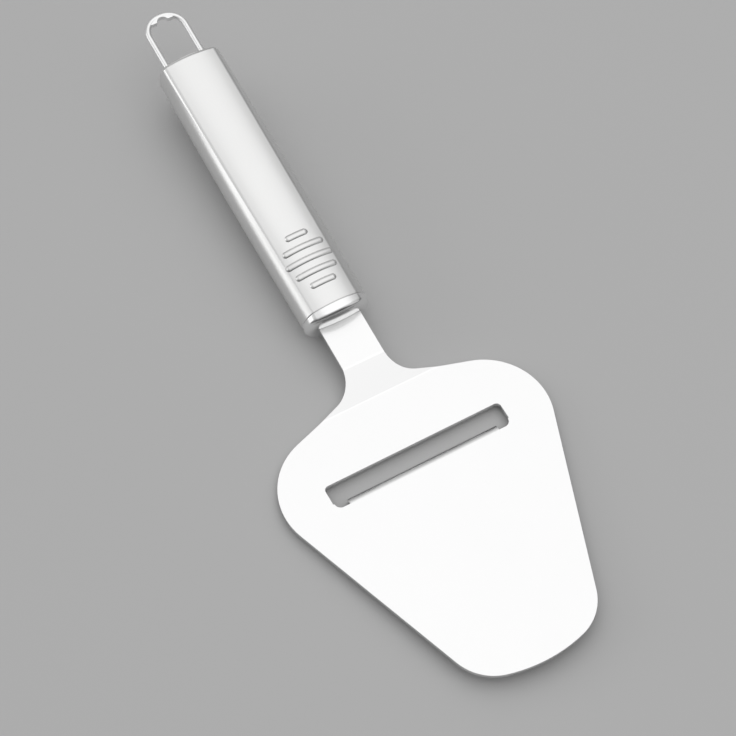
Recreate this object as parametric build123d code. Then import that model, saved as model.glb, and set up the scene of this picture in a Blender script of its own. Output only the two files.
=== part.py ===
from build123d import *
import math
import os

# Cheese slicer of stainless steel: a stamped blade with its neck and tang, a hollow handle
# with thumb ribs, closed by two caps, a hanging loop, and the weld beads that join them.
# It is drawn with the blade level, +Y towards the hanging loop and the middle of the tip at
# zero, and is then laid down at rest on its lip and the front of its handle.
# Millimetres, +Z up, +X to the right.

# Blade sheet
sheet_thickness = 1.5
blade_width = 88.0
blade_length = 96.6
tip_width = 41.1
tip_rise = 4.7
tip_corner_radius = 15.5
shoulder_radius = 20.6
shoulder_slope = 17.8
shoulder_reach = 6.3
neck_width = 13.9
neck_fillet = 9.4

# Neck and tang
ramp_length = 10.4
neck_length = 18.0
bend_radius = 2.5
tang_length = 12.0

# Slot and lip
slot_length = 59.5
slot_back = 77.1
slot_width = 6.1
slot_corner = 1.5
relief_radius = 2.1
relief_inset = 2.45
lip_angle = 48.0
lip_drop = 1.9
lip_bend_radius = 2.5
lip_bevel = 1.6
lip_land = 0.3

# Handle tube
handle_rise = 6.4
handle_angle = 6.7
handle_length = 97.8
handle_width = 21.8
handle_belly_width = 22.7
handle_height = 15.5
handle_wall = 0.8
plateau_front_width = 14.8
plateau_rear_width = 18.0
plateau_crown = 1.35
crease_radius = 2.2
tube_front_round = 0.3
tube_rear_round = 1.2
section_count = 8

# Thumb ribs, the first one nearest the blade
rib_set_back = 7.7
rib_pitch = 4.35
rib_width = 2.2
rib_height = 0.5
rib_length = 15.5
rib_length_shares = (0.55, 0.87, 1.0, 0.87, 0.48)

# Front cap
band_length = 2.6
nose_length = 1.1
spigot_length = 6.0
cap_wall = 1.2

# Rear cap
rear_plug_length = 4.5
rear_plug_wall = 0.9
rear_recess_depth = 0.5
rear_bulge_height = 1.0

# Hanging loop
wire_diameter = 2.0
loop_side_gap = 3.55
loop_length = 21.9
loop_crown_flat = 0.7
leg_depth = 2.6
seat_drop = 3.1
seat_thickness = 1.7
seat_notch_radius = 1.9
seat_web = 1.6
seat_round = 0.5

# Weld beads
tang_bead = 1.5
loop_bead = 0.9

# Shared clearances and overrun
fit_clearance = 0.05
overrun = 5.0
settling_steps = 6
edge_steps = 2

half_sheet = sheet_thickness / 2
handle_start = blade_length + ramp_length + neck_length
loop_width = handle_width - 2 * loop_side_gap
loop_corner_radius = (loop_width - wire_diameter - loop_crown_flat) / 2
neck_half = neck_width / 2
slot_half = slot_length / 2
slot_front = slot_back - slot_width
relief_x = slot_half - relief_inset
tang_end = handle_start + tang_length
handle_tilt = math.radians(handle_angle)
plug_gap = handle_wall + fit_clearance
rear_face = handle_length - rear_recess_depth
rear_wall_face = rear_face - cap_wall
run = Vector(0, math.cos(handle_tilt), math.sin(handle_tilt))


def across_handle(distance):
    """The plane across the handle, a distance behind the front edge of the tube."""
    start = Vector(0, handle_start, handle_rise)
    return Plane(origin=start + run * distance, x_dir=(-1, 0, 0), z_dir=run)


def along_handle():
    """The plane through both legs of the loop, with +Y along the handle."""
    start = Vector(0, handle_start, handle_rise)
    return Plane(origin=start, x_dir=(1, 0, 0), z_dir=(0, -run.Z, run.Y))


def near(vertices, places):
    """The corners that lie at one of the places or at its mirror image."""
    wanted = [Vector(side * x, y) for x, y in places for side in (-1, 1)]
    return [v for v in vertices if min((Vector(*v) - w).length for w in wanted) < fit_clearance]


def blade_outline():
    """The flat outline of blade, neck and tang, seen from above."""
    slope = math.radians(shoulder_slope)
    ridge = blade_length + shoulder_reach
    tip_x = tip_width / 2
    centre_x = blade_width / 2 - shoulder_radius
    centre_y = ridge - centre_x * math.tan(slope) - shoulder_radius / math.cos(slope)
    away = math.hypot(centre_x - tip_x, centre_y - tip_rise)
    side = math.atan2(centre_y - tip_rise, centre_x - tip_x) - math.asin(shoulder_radius / away)
    shoulder_x = (ridge - tip_rise + tip_x * math.tan(side)) / (math.tan(side) + math.tan(slope))
    shoulder_y = ridge - shoulder_x * math.tan(slope)
    neck_y = ridge - neck_half * math.tan(slope)
    corners = [(tip_x, tip_rise), (shoulder_x, shoulder_y), (neck_half, neck_y)]
    right = corners + [(neck_half, tang_end)]
    left = [(-x, y) for x, y in reversed(right)]
    edge = Polyline(*right, *left) + ThreePointArc(left[-1], (0, 0), right[0])
    face = make_face(edge)
    for corner, radius in zip(corners, (tip_corner_radius, shoulder_radius, neck_fillet)):
        face = fillet(near(face.vertices(), [corner]), radius)
    return face


def sheet_profile():
    """The side view of the sheet: level blade, ramp, then neck and tang along the handle."""
    ramp_end = blade_length + ramp_length
    ramp_top = handle_rise - (handle_start - ramp_end) * math.tan(handle_tilt)
    far_end = tang_end + overrun
    path = FilletPolyline(
        (-overrun, -half_sheet),
        (blade_length, -half_sheet),
        (ramp_end, ramp_top),
        (far_end, handle_rise + (far_end - handle_start) * math.tan(handle_tilt)),
        radius=bend_radius,
    )
    return Plane.YZ * trace(path, line_width=sheet_thickness)


def lip_points():
    """Where the lip's middle line bends, and where it ends, in side view."""
    fall = math.radians(lip_angle)
    end_y = slot_front + half_sheet * math.sin(fall)
    end_z = half_sheet * math.cos(fall) - sheet_thickness - lip_drop
    bend_y = end_y - (-half_sheet - end_z) / math.tan(fall)
    return Vector(bend_y, -half_sheet), Vector(end_y, end_z)


def lip_start():
    """Where the lip leaves the level sheet."""
    bend, end = lip_points()
    return bend.X - lip_bend_radius * math.tan(math.radians(lip_angle) / 2)


def slot_outline():
    """The slot, its round reliefs at both ends of the lip, and the room that the lip leaves."""
    opening = Pos(0, slot_front + slot_width / 2) * Rectangle(slot_length, slot_width)
    opening = fillet(opening.vertices().group_by(Axis.Y)[-1], slot_corner)
    reliefs = Pos(0, slot_front) * SlotCenterToCenter(2 * relief_x, 2 * relief_radius)
    room = slot_front - lip_start()
    lip_room = Pos(0, lip_start() + room / 2) * Rectangle(2 * (relief_x - relief_radius), room)
    return opening + reliefs + lip_room


def lip():
    """The cutting lip: sheet bent down towards the handle and ground to an edge from above."""
    fall = math.radians(lip_angle)
    along = Vector(math.cos(fall), -math.sin(fall))
    up = Vector(math.sin(fall), math.cos(fall))
    bend, end = lip_points()
    path = FilletPolyline(
        (slot_front - slot_width, -half_sheet), bend, end, radius=lip_bend_radius
    )
    corner = end + up * half_sheet
    ground = Polyline(
        corner - along * lip_bevel,
        corner - up * (sheet_thickness - lip_land),
        corner + (along + up) * half_sheet,
        close=True,
    )
    profile = trace(path, line_width=sheet_thickness) - make_face(ground)
    return extrude(Plane.YZ * profile, relief_x - relief_radius, both=True)


def blade():
    """Blade, neck and tang in one bent sheet, slotted, with its lip."""
    sheet = extrude(sheet_profile(), blade_width, both=True)
    sheet = sheet & extrude(blade_outline(), blade_width, both=True)
    sheet = sheet - extrude(slot_outline(), overrun, both=True)
    return sheet + lip()


def handle_half_width(distance):
    """Half the handle's width, fullest at the middle of its length."""
    share = distance / handle_length
    swell = math.sin(math.pi * min(max(share, 0), 1))
    return (handle_width + (handle_belly_width - handle_width) * swell) / 2


def plateau_half_width(distance):
    """Half the width between the creases beside the handle's crowned top."""
    widening = plateau_rear_width - plateau_front_width
    return (plateau_front_width + widening * distance / handle_length) / 2


def handle_section(distance, inset, softened):
    """The handle's outline at a distance from its front, drawn in by inset all round."""
    across = 1 - inset / handle_half_width(distance)
    upward = 1 - inset / (handle_height / 2)
    half_width = handle_half_width(distance) * across
    half_height = handle_height / 2 * upward
    crease_x = plateau_half_width(distance) * across
    crease_z = (handle_height / 2 - plateau_crown) * upward
    crown = ThreePointArc((-crease_x, crease_z), (0, half_height), (crease_x, crease_z))
    side = ThreePointArc((crease_x, crease_z), (half_width, 0), (crease_x, -crease_z))
    face = make_face([crown, side, mirror(crown, Plane.XZ), mirror(side, Plane.YZ)])
    if softened:
        face = fillet(face.vertices(), crease_radius * upward)
    return across_handle(distance) * face


def handle_body(stations, softened=False):
    """A solid along the handle through sections given as distance and inset."""
    sections = [handle_section(distance, inset, softened) for distance, inset in stations]
    return loft(sections, ruled=True)


def middle_stations(inset):
    """Stations evenly along the handle, without its two ends."""
    pitch = handle_length / (section_count - 1)
    return [(pitch * place, inset) for place in range(1, section_count - 1)]


def rounding(radius):
    """Stations round an outer edge, as distances from the end and insets."""
    turns = [math.pi / 2 * step / edge_steps for step in range(edge_steps + 1)]
    return [(radius * (1 - math.cos(turn)), radius * (1 - math.sin(turn))) for turn in turns]


def rib(index):
    """One thumb rib: a bead bent like the handle's crown, sunk in it, with round ends."""
    distance = rib_set_back + index * rib_pitch
    bead_radius = (rib_height**2 + (rib_width / 2) ** 2) / (2 * rib_height)
    crown_radius = (plateau_half_width(distance) ** 2 + plateau_crown**2) / (2 * plateau_crown)
    bend = crown_radius + rib_height - bead_radius
    half = rib_length * rib_length_shares[index] / 2 - rib_width / 2
    drop = bend - math.sqrt(bend**2 - half**2)
    top = handle_height / 2 + rib_height - bead_radius
    arc = across_handle(distance) * ThreePointArc((-half, top - drop), (0, top), (half, top - drop))
    bead = sweep(Plane(origin=arc @ 0, z_dir=arc % 0) * Circle(bead_radius), path=arc)
    for end in (arc @ 0, arc @ 1):
        bead = bead + Pos(end) * Sphere(bead_radius)
    return bead


def handle_tube():
    """The hollow handle with its thumb ribs and rounded end edges."""
    rear = [(handle_length - back, inset) for back, inset in reversed(rounding(tube_rear_round))]
    stations = rounding(tube_front_round) + middle_stations(0) + rear
    body = handle_body(stations, softened=True)
    for index in range(len(rib_length_shares)):
        body = body + rib(index)
    ends = [(end, handle_wall) for end in (0, handle_length)]
    return body - handle_body([ends[0], *middle_stations(handle_wall), ends[1]])


def dome(distance, inset, height):
    """A ball that stands out by height over its rim, which is as wide as the inset handle."""
    half_width = handle_width / 2 - inset
    radius = (half_width**2 / abs(height) + abs(height)) / 2
    apex = across_handle(distance + height).origin
    return Pos(apex - run * math.copysign(radius, height)) * Sphere(radius)


def neck_passage():
    """The room that the neck needs on its way through the front cap."""
    width = neck_width + 2 * fit_clearance
    height = sheet_thickness + 2 * fit_clearance
    return extrude(across_handle(0) * Rectangle(width, height), handle_width, both=True)


def front_cap():
    """The polished end of the handle: a band, a domed nose and a hollow spigot."""
    nose = handle_body([(-band_length - overrun, 0), (0, 0)], softened=True)
    nose = nose & dome(-band_length, 0, -nose_length)
    floor = cap_wall - band_length
    spigot = handle_body([(0, plug_gap), (spigot_length, plug_gap)])
    hollow = handle_body([(floor, plug_gap + cap_wall), (spigot_length, plug_gap + cap_wall)])
    return nose + spigot - hollow - neck_passage()


def loop_path():
    """The middle line of the loop's wire, from one leg end to the other."""
    half = (loop_width - wire_diameter) / 2
    top = handle_length + loop_length - wire_diameter / 2
    start = rear_wall_face - leg_depth
    points = [(-half, start), (-half, top), (half, top), (half, start)]
    return FilletPolyline(*points, radius=loop_corner_radius)


def hanging_loop():
    """The bent wire, with the notched seat that a hook finds at the top of the arch."""
    path = along_handle() * loop_path()
    wire = sweep(Plane(origin=path @ 0, z_dir=path % 0) * Circle(wire_diameter / 2), path=path)
    top = handle_length + loop_length
    flat = loop_path()
    inside = make_face(flat + Line(flat @ 1, flat @ 0))
    chord = top - seat_drop
    seat = inside & Pos(0, chord + seat_drop / 2) * Rectangle(loop_width, seat_drop)
    notch = Pos(0, top - seat_web - seat_notch_radius) * Circle(seat_notch_radius)
    seat = seat - notch
    seat = fillet(seat.vertices().group_by(Axis.Y)[0], seat_round)
    plate = extrude(along_handle() * seat, seat_thickness / 2, both=True)
    return wire + plate - extrude(along_handle() * notch, wire_diameter, both=True)


def leg_places():
    """The two legs of the loop, as positions across the handle."""
    half = (loop_width - wire_diameter) / 2
    return [Pos(side * half, 0) for side in (-1, 1)]


def rear_cap():
    """The bulging plug in the rear end of the tube, with a hole for each leg."""
    front = rear_face - rear_plug_length
    plug = handle_body([(front, plug_gap), (rear_face + overrun, plug_gap)])
    plug = plug & dome(rear_face, plug_gap, rear_bulge_height)
    inner = plug_gap + rear_plug_wall
    hollow = handle_body([(front, inner), (rear_wall_face, inner)])
    holes = [place * Circle(wire_diameter / 2 + fit_clearance) for place in leg_places()]
    passages = extrude(across_handle(rear_wall_face) * (Sketch() + holes), overrun, both=True)
    return plug - passages - hollow


def bead(size):
    """The section of a weld bead in the corner of two faces, along +X and +Y."""
    return make_face(Polyline((0, size), (0, 0), (size, 0), close=True))


def tang_weld(side):
    """A bead inside the front cap, along the upper or lower face of the neck."""
    floor = across_handle(cap_wall - band_length)
    corner = floor.origin + floor.y_dir * (side * half_sheet)
    section = Plane(origin=corner, x_dir=run, z_dir=(side, 0, 0)) * bead(tang_bead)
    return extrude(section, neck_half - tang_bead, both=True)


def loop_weld(place):
    """A round bead inside the rear cap, where one leg of the loop comes through."""
    ring = Plane.XZ * (Pos(wire_diameter / 2, 0) * bead(loop_bead))
    ring = revolve(ring, Axis.Z)
    return across_handle(rear_wall_face) * (place * (Rot(180, 0, 0) * ring))


def lowest(shape):
    """The height of a shape's lowest point."""
    return shape.bounding_box().min.Z


def rest_place(front, back):
    """The turn that lays the tool on its lip and on the front of its handle."""
    tilt = 0
    span = handle_start - slot_front
    for step in range(settling_steps):
        turn = Rot(tilt, 0, 0)
        gap = lowest(turn * back) - lowest(turn * front)
        tilt = tilt - math.degrees(math.atan2(gap, span))
    return Rot(tilt, 0, 0)


legs = leg_places()
parts = {
    "blade": blade(),
    "handle_tube": handle_tube(),
    "front_cap": front_cap(),
    "rear_cap": rear_cap(),
    "hanging_loop": hanging_loop(),
    "tang_weld_upper": tang_weld(1),
    "tang_weld_lower": tang_weld(-1),
    "loop_weld_right": loop_weld(legs[0]),
    "loop_weld_left": loop_weld(legs[1]),
}

turn = rest_place(parts["blade"], parts["front_cap"])
box = (turn * Compound(list(parts.values()))).bounding_box()
shift = Pos(-box.center().X, -box.center().Y, -box.min.Z)
print("rest turn", turn.orientation.X, "shift", shift.position)

os.makedirs("parts", exist_ok=True)
for name, shape in parts.items():
    export_step(shift * turn * shape, "parts/" + name + ".step")
    print(name, len(shape.solids()), round(shape.volume, 1))
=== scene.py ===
import math
from typing import NamedTuple

import bmesh
import bpy
from bpy.props import FloatProperty, FloatVectorProperty, PointerProperty
from mathutils import Matrix, Vector


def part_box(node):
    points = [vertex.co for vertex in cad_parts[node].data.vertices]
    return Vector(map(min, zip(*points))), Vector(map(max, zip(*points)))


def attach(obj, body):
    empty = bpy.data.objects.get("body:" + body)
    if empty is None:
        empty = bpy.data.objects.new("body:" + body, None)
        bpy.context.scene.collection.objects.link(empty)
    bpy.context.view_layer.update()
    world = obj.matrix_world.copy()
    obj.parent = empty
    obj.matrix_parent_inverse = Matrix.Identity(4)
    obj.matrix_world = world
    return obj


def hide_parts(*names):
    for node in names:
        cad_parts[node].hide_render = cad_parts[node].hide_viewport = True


bl_info = {
    "name": "Cheese slicer",
    "version": (1, 0, 0),
    "blender": (4, 5, 0),
    "location": "View3D > Sidebar > Slicer",
    "description": "Finishes a stainless steel cheese slicer and sets it in a plain studio",
    "category": "Object",
}

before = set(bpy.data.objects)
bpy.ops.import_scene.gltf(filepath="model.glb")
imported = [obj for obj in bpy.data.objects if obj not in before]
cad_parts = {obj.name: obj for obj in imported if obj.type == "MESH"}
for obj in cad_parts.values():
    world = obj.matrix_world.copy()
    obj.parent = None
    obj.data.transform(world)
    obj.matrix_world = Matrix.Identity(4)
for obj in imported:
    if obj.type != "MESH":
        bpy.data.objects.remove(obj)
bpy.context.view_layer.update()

MM = 0.001
BODY = "root"


class Grain(NamedTuple):
    """The brushed lines of a steel: their counts to a metre, their depth and their pull on gloss."""

    along: float
    across: float
    depth: float
    pull: float


class SoftBox(NamedTuple):
    """A lamp: its name, its place, the point that it faces, its size and how white it looks."""

    name: str
    place: tuple
    aim: tuple
    width: float
    length: float
    strength: float


# Shapes: what counts as one point, as one flat face, as a smooth turn and as the cap's front
WELD = 0.001 * MM
FLAT = math.radians(0.5)
SMOOTH = math.radians(28)
FACES_FRONT = 0.9
SHEET_CORNER = math.radians(60)
CAP_CORNER = math.radians(35)
ROUNDING_STEPS = 3
NOSE_STEPS = 8
QUARTER_TURN = math.pi / 2
WEIGHT_OF_AREA = 50

# Finishes: the grains, the noises, and how much each noise changes a steel
SHEET_GRAIN = Grain(40.0, 2600.0, 0.25, 0.3)
HANDLE_GRAIN = Grain(60.0, 2600.0, 0.3, 0.3)
POLISHED_GRAIN = Grain(60.0, 900.0, 0.04, 0.0)
WELD_GRAIN = Grain(500.0, 500.0, 0.6, 0.0)
LINES = {"Scale": 1.0, "Detail": 4.0, "Roughness": 0.6}
CLOUDS = {"Scale": 60.0, "Detail": 3.0, "Roughness": 0.5}
SCRATCHES = {"Scale": 1.0, "Detail": 1.0, "Roughness": 0.5}
SCRATCH_TURN = (0.0, 0.0, 0.6)
SCRATCH_STRETCH = (900.0, 22.0, 60.0)
SCRATCH_LEVEL = 0.72
SCRATCH_HEIGHT = 0.25
NOISE_MEAN = 0.5
LINES_ROUGHEN = 0.10
CLOUDS_ROUGHEN = 0.06
LINES_SHARE = 0.6
DARKEST = 0.93
GRAIN_HEIGHT = 0.02 * MM

# Sockets of a Mix node that blends colours
MIX_SHARE, MIX_FIRST, MIX_SECOND, MIX_RESULT = 0, 6, 7, 2

# Stage: places and sizes in metres, and the sky's grey levels by height
SOFT_BOXES = (
    SoftBox("overhead", (0.28, 0.52, 1.0), (0.28, 0.52, 0.0), 1.1, 1.0, 1.0),
    SoftBox("forward", (0.28, -0.48, 1.0), (0.28, -0.48, 0.0), 1.1, 1.0, 1.3),
    SoftBox("left", (-2.0, 1.15, 0.55), (0.0, 0.05, 0.0), 2.0, 1.05, 4.0),
    SoftBox("front", (1.6, -1.6, 1.04), (0.0, 0.0, 0.0), 1.1, 1.0, 1.8),
)
SKY = ((0.0, 0.03), (0.4, 0.28), (0.9, 0.85))
SKY_LEAN = 0.3
HAZE = ((0.0, 0.42), (0.04, 0.42), (0.1, 0.0))
FLOOR_ROUGHNESS = 0.9
FLOOR_SPECULAR = 0.1
FLOOR_SIDES = 96
SENSOR_WIDTH = 36.0


# Shader helpers

class Wire:
    """A socket that carries a number, with the sums that a finish needs."""

    def __init__(self, paint, socket):
        self.paint = paint
        self.socket = socket

    def sum_with(self, operation, first, second):
        return self.paint.node("ShaderNodeMath", 0, {"operation": operation}, {0: first, 1: second})

    def __add__(self, other):
        return self.sum_with("ADD", self, other)

    def __radd__(self, other):
        return self.sum_with("ADD", other, self)

    def __sub__(self, other):
        return self.sum_with("SUBTRACT", self, other)

    def __rsub__(self, other):
        return self.sum_with("SUBTRACT", other, self)

    def __mul__(self, other):
        return self.sum_with("MULTIPLY", self, other)

    def __rmul__(self, other):
        return self.sum_with("MULTIPLY", other, self)

    def __gt__(self, other):
        return self.sum_with("GREATER_THAN", self, other)


class Paint:
    """The node tree of a material or of the world: each of its nodes comes from one method."""

    def __init__(self, owner):
        owner.use_nodes = True
        self.tree = owner.node_tree
        self.tree.nodes.clear()

    def node(self, kind, outputs=0, settings=None, sockets=None):
        """Adds a node, with its settings first, and gives the outputs that are asked for."""
        made = self.tree.nodes.new(kind)
        for name, value in (settings or {}).items():
            if name == "stops":
                self.set_stops(made.color_ramp, value)
            else:
                setattr(made, name, value)
        for name, value in (sockets or {}).items():
            if isinstance(value, Wire):
                self.tree.links.new(value.socket, made.inputs[name])
            else:
                made.inputs[name].default_value = value
        if isinstance(outputs, tuple):
            return [Wire(self, made.outputs[name]) for name in outputs]
        return Wire(self, made.outputs[outputs]) if made.outputs else made

    def set_stops(self, ramp, stops):
        """Gives a colour ramp its stops, as place and grey level."""
        while len(ramp.elements) < len(stops):
            ramp.elements.new(1.0)
        for element, (place, level) in zip(ramp.elements, stops):
            element.position = place
            element.color = (level, level, level, 1.0)

    def place(self, turn=(0.0, 0.0, 0.0), stretch=(1.0, 1.0, 1.0)):
        """The piece's own coordinates, turned and stretched."""
        coordinates = self.node("ShaderNodeTexCoord", "Object")
        return self.node(
            "ShaderNodeMapping", 0, {"vector_type": "POINT"},
            {"Vector": coordinates, "Rotation": turn, "Scale": stretch},
        )

    def noise(self, place, kind):
        """A noise between 0 and 1 at a place."""
        return self.node(
            "ShaderNodeTexNoise", "Fac", {"noise_dimensions": "3D"}, {"Vector": place, **kind}
        )


def colour(rgb):
    """A colour with its alpha."""
    return (*rgb, 1.0)


def mix_colour(paint, share, first, second):
    """A blend of two colours."""
    return paint.node(
        "ShaderNodeMix", MIX_RESULT, {"data_type": "RGBA"},
        {MIX_SHARE: share, MIX_FIRST: first, MIX_SECOND: second},
    )


def bump(paint, height, strength, distance):
    """A normal that follows a height."""
    return paint.node(
        "ShaderNodeBump", "Normal", None,
        {"Height": height, "Strength": strength, "Distance": distance},
    )


def steel(name, tone, roughness, grain):
    """Stainless steel with a brushed grain along Y, faint clouds and a few fine scratches."""
    material = bpy.data.materials.new(name)
    paint = Paint(material)
    brushed = paint.place(stretch=(grain.across, grain.along, grain.across))
    lines = paint.noise(brushed, LINES)
    clouds = paint.noise(paint.place(), CLOUDS)
    scratches = paint.noise(paint.place(SCRATCH_TURN, SCRATCH_STRETCH), SCRATCHES)
    uneven = (lines - NOISE_MEAN) * LINES_ROUGHEN + (clouds - NOISE_MEAN) * CLOUDS_ROUGHEN
    dark = tuple(part * DARKEST for part in tone)
    share = lines * LINES_SHARE + clouds * (1 - LINES_SHARE)
    height = lines + (scratches > SCRATCH_LEVEL) * SCRATCH_HEIGHT
    surface = paint.node(
        "ShaderNodeBsdfPrincipled", "BSDF", {"distribution": "MULTI_GGX"},
        {
            "Base Color": mix_colour(paint, share, colour(dark), colour(tone)),
            "Metallic": 1.0,
            "Roughness": roughness + uneven,
            "Anisotropic": grain.pull,
            "Normal": bump(paint, height, grain.depth, GRAIN_HEIGHT),
        },
    )
    paint.node("ShaderNodeOutputMaterial", 0, None, {"Surface": surface})
    return material


# Piece helpers

def add_object(name, data):
    """An object in the scene for some data."""
    made = bpy.data.objects.new(name, data)
    bpy.context.scene.collection.objects.link(made)
    return made


def dress(piece, material):
    """Gives a piece its finish."""
    piece.data.materials.clear()
    piece.data.materials.append(material)


def merged_shape(node):
    """A copy of a node's mesh with its loose triangles joined into faces."""
    shape = bmesh.new()
    shape.from_mesh(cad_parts[node].data)
    bmesh.ops.remove_doubles(shape, verts=shape.verts, dist=WELD)
    bmesh.ops.dissolve_limit(
        shape, angle_limit=FLAT, use_dissolve_boundaries=False,
        verts=shape.verts, edges=shape.edges, delimit=set(),
    )
    return shape


def round_edges(shape, size, angle):
    """Rounds the edges where two faces turn by more than an angle."""
    sharp = [
        edge for edge in shape.edges
        if len(edge.link_faces) == 2 and edge.calc_face_angle(0.0) > angle
    ]
    bmesh.ops.bevel(
        shape, geom=sharp, offset=size, offset_type="OFFSET", segments=ROUNDING_STEPS,
        profile=0.5, affect="EDGES", clamp_overlap=True, material=-1,
    )


def on_outside(edge, nose, middle):
    """Whether the face beside the nose at an edge looks away from the cap's middle."""
    side = next(face for face in edge.link_faces if face not in nose)
    out = (edge.verts[0].co + edge.verts[1].co) / 2 - middle
    return side.normal.dot(out) > 0


def round_nose(shape, drawn_in, set_back, stands_out):
    """Gives the cap's nose a rounded rim, drawn in from the band towards the slit for the neck."""
    low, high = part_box("front_cap")
    middle = (Vector(low) + Vector(high)) / 2
    half = (Vector(high) - Vector(low)) / 2
    nose = [face for face in shape.faces if face.normal.y < -FACES_FRONT]
    border = [edge for edge in shape.edges if len(set(nose).intersection(edge.link_faces)) == 1]
    rim = [edge for edge in border if on_outside(edge, nose, middle)]
    slit = [edge for edge in border if edge not in rim]
    bmesh.ops.delete(shape, geom=nose, context="FACES")
    corners = list(dict.fromkeys(corner for edge in rim for corner in edge.verts))
    bmesh.ops.translate(shape, verts=corners, vec=(0.0, set_back, 0.0))
    inward, outward = 0.0, 0.0
    for step in range(1, NOSE_STEPS + 1):
        turn = QUARTER_TURN * step / NOSE_STEPS
        inset, rise = drawn_in * (1 - math.cos(turn)), stands_out * math.sin(turn)
        made = bmesh.ops.extrude_edge_only(shape, edges=rim)["geom"]
        corners = [part for part in made if isinstance(part, bmesh.types.BMVert)]
        rim = [
            part for part in made
            if isinstance(part, bmesh.types.BMEdge) and set(part.verts) <= set(corners)
        ]
        across = (half.x - inset) / (half.x - inward)
        upward = (half.z - inset) / (half.z - inward)
        bmesh.ops.scale(
            shape, verts=corners, vec=(across, 1.0, upward), space=Matrix.Translation(-middle)
        )
        bmesh.ops.translate(shape, verts=corners, vec=(0.0, outward - rise, 0.0))
        inward, outward = inset, rise
    bmesh.ops.bridge_loops(shape, edges=rim + slit)
    bmesh.ops.recalc_face_normals(shape, faces=shape.faces)


def smooth_mesh(name, shape):
    """A mesh of a shape, smooth up to an angle."""
    mesh = bpy.data.meshes.new(name)
    shape.to_mesh(mesh)
    shape.free()
    mesh.polygons.foreach_set("use_smooth", [True] * len(mesh.polygons))
    mesh.set_sharp_from_angle(angle=SMOOTH)
    return mesh


def stand_in(node, name, shape):
    """The piece that stands for a node, made from a shape."""
    piece = add_object(name, smooth_mesh(name, shape))
    flat = piece.modifiers.new("flat_faces", "WEIGHTED_NORMAL")
    flat.keep_sharp = True
    flat.weight = WEIGHT_OF_AREA
    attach(piece, BODY)
    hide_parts(node)
    return piece


# Sizes and colours that a user would change

class SlicerShape(bpy.types.PropertyGroup):
    """The roundings of the blade and of the polished cap."""

    sheet_edge: FloatProperty(
        name="Sheet edge", description="Rounding of the blade's edges",
        subtype="DISTANCE", unit="LENGTH", min=0.0, default=0.22 * MM,
    )
    cap_edge: FloatProperty(
        name="Cap edge", description="Rounding of the front cap's edges",
        subtype="DISTANCE", unit="LENGTH", min=0.0, default=0.14 * MM,
    )
    nose_drawn_in: FloatProperty(
        name="Nose drawn in", description="How far the nose's rim draws in from the band",
        subtype="DISTANCE", unit="LENGTH", min=0.0, default=3.2 * MM,
    )
    nose_set_back: FloatProperty(
        name="Nose set back", description="How far the rim starts behind the end of the band",
        subtype="DISTANCE", unit="LENGTH", min=0.0, default=1.2 * MM,
    )
    nose_stands_out: FloatProperty(
        name="Nose stands out", description="How far the nose stands out from its rim",
        subtype="DISTANCE", unit="LENGTH", min=0.0, default=1.9 * MM,
    )


class SlicerFinish(bpy.types.PropertyGroup):
    """The finishes of the slicer's pieces."""

    blade_tone: FloatVectorProperty(
        name="Blade", description="Colour of the blade's steel", subtype="COLOR",
        size=3, min=0.0, max=1.0, default=(0.88, 0.88, 0.88),
    )
    handle_tone: FloatVectorProperty(
        name="Handle", description="Colour of the handle's satin steel", subtype="COLOR",
        size=3, min=0.0, max=1.0, default=(0.82, 0.82, 0.815),
    )
    polished_tone: FloatVectorProperty(
        name="Polished steel", description="Colour of the front cap and the loop",
        subtype="COLOR", size=3, min=0.0, max=1.0, default=(0.90, 0.90, 0.90),
    )
    weld_tone: FloatVectorProperty(
        name="Welds", description="Colour of the weld beads", subtype="COLOR",
        size=3, min=0.0, max=1.0, default=(0.55, 0.54, 0.52),
    )
    blade_roughness: FloatProperty(
        name="Blade roughness", description="How satin the blade is",
        min=0.0, max=1.0, default=0.24,
    )
    handle_roughness: FloatProperty(
        name="Handle roughness", description="How satin the handle is",
        min=0.0, max=1.0, default=0.34,
    )
    cap_roughness: FloatProperty(
        name="Cap roughness", description="How satin the front cap is",
        min=0.0, max=1.0, default=0.23,
    )
    wire_roughness: FloatProperty(
        name="Wire roughness", description="How satin the hanging loop is",
        min=0.0, max=1.0, default=0.33,
    )
    weld_roughness: FloatProperty(
        name="Weld roughness", description="How dull the weld beads are",
        min=0.0, max=1.0, default=0.5,
    )


class StudioSettings(bpy.types.PropertyGroup):
    """The floor and the camera."""

    floor_tone: FloatVectorProperty(
        name="Floor", description="Colour of the floor", subtype="COLOR",
        size=3, min=0.0, max=1.0, default=(0.55, 0.55, 0.55),
    )
    floor_radius: FloatProperty(
        name="Floor radius", description="Half the width of the floor",
        subtype="DISTANCE", unit="LENGTH", min=1.0, default=12.0,
    )
    camera_azimuth: FloatProperty(
        name="Azimuth", description="Turn of the view from the tool's length",
        subtype="ANGLE", unit="ROTATION", default=math.radians(30.69),
    )
    camera_elevation: FloatProperty(
        name="Elevation", description="Height of the view above the floor",
        subtype="ANGLE", unit="ROTATION", default=math.radians(61.83),
    )
    camera_roll: FloatProperty(
        name="Roll", description="Turn of the camera about its own line of sight",
        subtype="ANGLE", unit="ROTATION", default=math.radians(1.97),
    )
    camera_distance: FloatProperty(
        name="Distance", description="From the camera to the point that it looks at",
        subtype="DISTANCE", unit="LENGTH", default=0.6068,
    )
    camera_lens: FloatProperty(
        name="Focal length", description="Lens of the camera in millimetres on a 36 mm frame",
        min=10.0, max=400.0, default=97.83,
    )
    camera_aim: FloatVectorProperty(
        name="Aim", description="Point on the floor that the camera looks at",
        subtype="TRANSLATION", unit="LENGTH", size=3, default=(0.00188, -0.01503, 0.0),
    )


# Pieces

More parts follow.
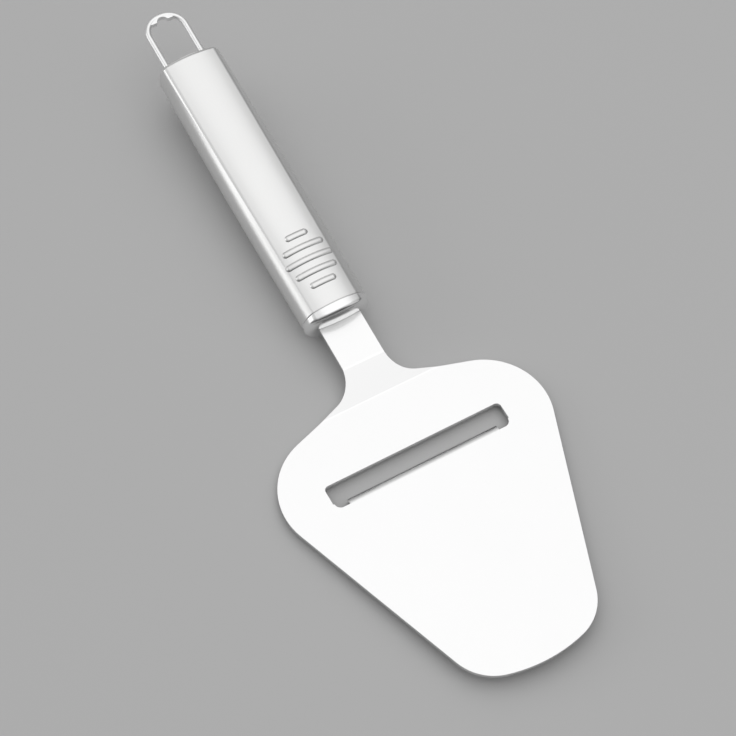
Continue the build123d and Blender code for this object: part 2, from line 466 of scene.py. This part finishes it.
class SLICER_OT_blade(bpy.types.Operator):
    """Finish the blade"""

    bl_idname = "slicer.blade"
    bl_label = "Blade"

    def execute(self, context):
        finish = context.scene.slicer_finish
        material = steel(
            "blade_steel", tuple(finish.blade_tone), finish.blade_roughness, SHEET_GRAIN
        )
        shape = merged_shape("blade")
        round_edges(shape, context.scene.slicer_shape.sheet_edge, SHEET_CORNER)
        dress(stand_in("blade", "blade_sheet", shape), material)
        return {"FINISHED"}


class SLICER_OT_handle(bpy.types.Operator):
    """Finish the handle tube and its rear cap"""

    bl_idname = "slicer.handle"
    bl_label = "Handle"

    def execute(self, context):
        finish = context.scene.slicer_finish
        material = steel(
            "satin_steel", tuple(finish.handle_tone), finish.handle_roughness, HANDLE_GRAIN
        )
        for node in ("handle_tube", "rear_cap"):
            dress(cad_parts[node], material)
        return {"FINISHED"}


class SLICER_OT_polished(bpy.types.Operator):
    """Finish the polished front cap and the hanging loop"""

    bl_idname = "slicer.polished"
    bl_label = "Cap and loop"

    def execute(self, context):
        finish = context.scene.slicer_finish
        sizes = context.scene.slicer_shape
        tone = tuple(finish.polished_tone)
        material = steel("polished_steel", tone, finish.cap_roughness, POLISHED_GRAIN)
        shape = merged_shape("front_cap")
        round_nose(shape, sizes.nose_drawn_in, sizes.nose_set_back, sizes.nose_stands_out)
        round_edges(shape, sizes.cap_edge, CAP_CORNER)
        dress(stand_in("front_cap", "polished_cap", shape), material)
        wire = steel("wire_steel", tone, finish.wire_roughness, POLISHED_GRAIN)
        dress(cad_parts["hanging_loop"], wire)
        return {"FINISHED"}


class SLICER_OT_welds(bpy.types.Operator):
    """Finish the weld beads inside the handle"""

    bl_idname = "slicer.welds"
    bl_label = "Welds"

    def execute(self, context):
        finish = context.scene.slicer_finish
        material = steel("weld_steel", tuple(finish.weld_tone), finish.weld_roughness, WELD_GRAIN)
        for node in ("tang_weld_upper", "tang_weld_lower", "loop_weld_right", "loop_weld_left"):
            dress(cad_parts[node], material)
        return {"FINISHED"}


# Stage

def lamp(box):
    """A soft box that faces a point; at a strength of 1 it looks white."""
    data = bpy.data.lights.new(box.name, "AREA")
    data.shape = "RECTANGLE"
    data.size = box.width
    data.size_y = box.length
    data.energy = box.strength * box.width * box.length
    light = add_object(box.name, data)
    light.location = box.place
    sight = Vector(box.aim) - Vector(box.place)
    light.rotation_euler = sight.to_track_quat("-Z", "Y").to_euler()


def studio_world(sky_stops, haze_stops, lean):
    """A soft sky, brightest overhead and darker in front of the blade than behind the handle."""
    world = bpy.data.worlds.new("studio")
    bpy.context.scene.world = world
    paint = Paint(world)
    direction = paint.node("ShaderNodeTexCoord", "Generated")
    y, z = paint.node("ShaderNodeSeparateXYZ", ("Y", "Z"), None, {"Vector": direction})
    sky = paint.node(
        "ShaderNodeValToRGB", "Color", {"stops": sky_stops}, {"Fac": z + y * lean}
    )
    haze = paint.node("ShaderNodeValToRGB", "Color", {"stops": haze_stops}, {"Fac": z})
    light = paint.node("ShaderNodeBackground", 0, None, {"Color": sky + haze})
    paint.node("ShaderNodeOutputWorld", 0, None, {"Surface": light})


def floor(tone, radius):
    """A wide pale floor."""
    shape = bmesh.new()
    bmesh.ops.create_circle(shape, cap_ends=True, segments=FLOOR_SIDES, radius=radius)
    mesh = bpy.data.meshes.new("floor")
    shape.to_mesh(mesh)
    shape.free()
    piece = add_object("floor", mesh)
    material = bpy.data.materials.new("floor")
    paint = Paint(material)
    surface = paint.node(
        "ShaderNodeBsdfPrincipled", "BSDF", None,
        {
            "Base Color": colour(tone),
            "Roughness": FLOOR_ROUGHNESS,
            "Specular IOR Level": FLOOR_SPECULAR,
        },
    )
    paint.node("ShaderNodeOutputMaterial", 0, None, {"Surface": surface})
    mesh.materials.append(material)


def camera(studio):
    """The camera, at the photograph's angle."""
    data = bpy.data.cameras.new("camera")
    data.lens = studio.camera_lens
    data.sensor_width = SENSOR_WIDTH
    eye = add_object("camera", data)
    level = math.cos(studio.camera_elevation)
    sight = Vector((
        level * math.sin(studio.camera_azimuth),
        level * math.cos(studio.camera_azimuth),
        -math.sin(studio.camera_elevation),
    ))
    eye.location = Vector(studio.camera_aim) - sight * studio.camera_distance
    roll = Matrix.Rotation(studio.camera_roll, 3, "Z")
    eye.rotation_euler = (sight.to_track_quat("-Z", "Y").to_matrix() @ roll).to_euler()
    bpy.context.scene.camera = eye


class SLICER_OT_stage(bpy.types.Operator):
    """Set the floor, the lamps, the sky and the camera"""

    bl_idname = "slicer.stage"
    bl_label = "Stage"

    def execute(self, context):
        studio = context.scene.slicer_studio
        camera(studio)
        floor(tuple(studio.floor_tone), studio.floor_radius)
        studio_world(SKY, HAZE, SKY_LEAN)
        for box in SOFT_BOXES:
            lamp(box)
        context.scene.view_settings.view_transform = "Standard"
        return {"FINISHED"}


class SLICER_PT_panel(bpy.types.Panel):
    """Lists the pieces and the stage"""

    bl_idname = "SLICER_PT_panel"
    bl_label = "Cheese slicer"
    bl_space_type = "VIEW_3D"
    bl_region_type = "UI"
    bl_category = "Slicer"

    def draw(self, context):
        for kind in OPERATORS:
            self.layout.operator(kind.bl_idname)


OPERATORS = (
    SLICER_OT_blade,
    SLICER_OT_handle,
    SLICER_OT_polished,
    SLICER_OT_welds,
    SLICER_OT_stage,
)
GROUPS = (SlicerShape, SlicerFinish, StudioSettings)


def register():
    for kind in (*GROUPS, *OPERATORS, SLICER_PT_panel):
        bpy.utils.register_class(kind)
    bpy.types.Scene.slicer_shape = PointerProperty(type=SlicerShape)
    bpy.types.Scene.slicer_finish = PointerProperty(type=SlicerFinish)
    bpy.types.Scene.slicer_studio = PointerProperty(type=StudioSettings)


def unregister():
    del bpy.types.Scene.slicer_studio
    del bpy.types.Scene.slicer_finish
    del bpy.types.Scene.slicer_shape
    for kind in reversed((*GROUPS, *OPERATORS, SLICER_PT_panel)):
        bpy.utils.unregister_class(kind)


def main():
    register()
    bpy.ops.slicer.blade()
    bpy.ops.slicer.handle()
    bpy.ops.slicer.polished()
    bpy.ops.slicer.welds()
    bpy.ops.slicer.stage()


if __name__ == "__main__":
    main()
